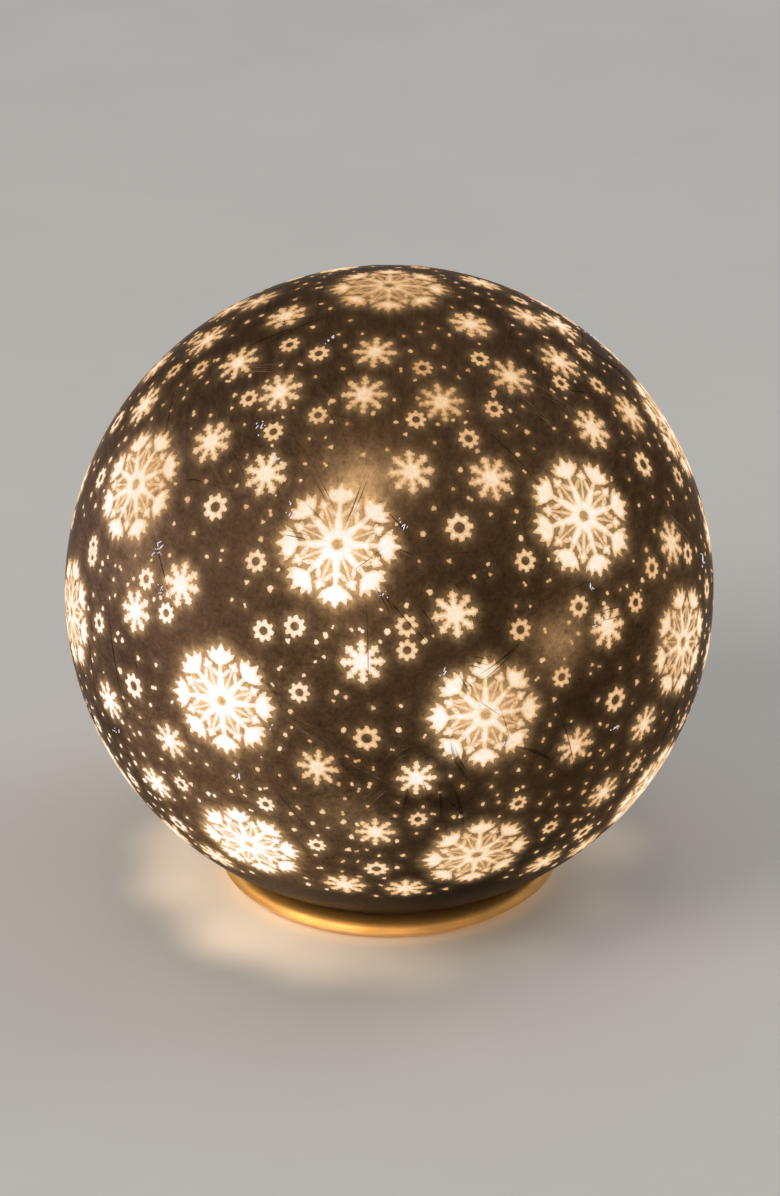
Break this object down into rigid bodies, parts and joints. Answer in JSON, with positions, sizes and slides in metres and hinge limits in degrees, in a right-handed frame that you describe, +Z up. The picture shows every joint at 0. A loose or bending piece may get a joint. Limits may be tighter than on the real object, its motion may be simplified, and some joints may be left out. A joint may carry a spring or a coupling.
{
  "type": "illuminated glass ball lamp",
  "caption": "Battery lamp: a silvered glass ball with etched snowflake windows, lit from inside, standing in a low gold base with a hinged battery door and a slide switch underneath.",
  "frame": {"origin": "centre of the base on the surface that the lamp stands on", "axes": "+Z up through the ball's centre; -Y is the front that faces the viewer; +X to the viewer's right"},
  "size_m": [0.2, 0.2, 0.195],
  "materials": {
    "silvered_glass": "silvered inside with etched clear windows, warm light behind",
    "gold_plastic": "satin metallised gold",
    "silicone": "milky",
    "black_foam": "closed-cell foam",
    "white_plastic": "fine moulded texture",
    "black_plastic": "fine moulded texture",
    "zinc_steel": "bright zinc",
    "cell_can": "plain printed sleeve",
    "nickel_strip": "nickel plated",
    "board_green": "solder mask",
    "chip_black": "moulded epoxy",
    "capacitor_can": "sleeved can",
    "knob_plastic": "glossy",
    "red_insulation": "vinyl",
    "black_insulation": "vinyl",
    "copper_wire": "enamelled copper",
    "led_drop": "clear epoxy, lit"
  },
  "bodies": {
    "lamp": {"base_ring": "gold_plastic", "battery_1": "cell_can", "battery_2": "cell_can", "battery_3": "cell_can", "battery_tray": "black_plastic", "board_screws": "zinc_steel", "bottom_cover": "black_plastic", "capacitor": "capacitor_can", "circuit_board": "board_green", "contact_bridge_1": "nickel_strip", "contact_bridge_2": "nickel_strip", "contact_negative": "nickel_strip", "contact_positive": "nickel_strip", "contact_spring_1": "nickel_strip", "contact_spring_2": "nickel_strip", "contact_spring_3": "nickel_strip", "cover_screws": "zinc_steel", "foot_ring": "black_foam", "glass_ball": "silvered_glass", "housing_cup": "white_plastic", "lead_black": "black_insulation", "lead_red": "red_insulation", "led_beads": "led_drop", "led_wire": "copper_wire", "neck_seal": "silicone", "resistors": "chip_black", "switch_body": "nickel_strip", "timer_chip": "chip_black", "timer_crystal": "nickel_strip", "tray_screws": "zinc_steel", "wire_grommet": "silicone"},
    "door": {"battery_door": "black_plastic"},
    "door_screw": {"door_screw": "zinc_steel"},
    "switch_knob": {"switch_knob": "knob_plastic"}
  },
  "joints": [
    {"name": "door_hinge", "type": "hinge", "parent": "lamp", "child": "door", "pos_m": [-0.002, 0.03, 0.002], "axis": [1, 0, 0], "range_deg": [0, 95]},
    {"name": "door_screw_turn", "type": "hinge", "parent": "door", "child": "door_screw", "pos_m": [-0.002, -0.0335, 0.002], "axis": [0, 0, 1], "continuous": true},
    {"name": "switch_slide", "type": "slide", "parent": "lamp", "child": "switch_knob", "axis": [0, 1, 0], "range_m": [0, 0.005]}
  ]
}
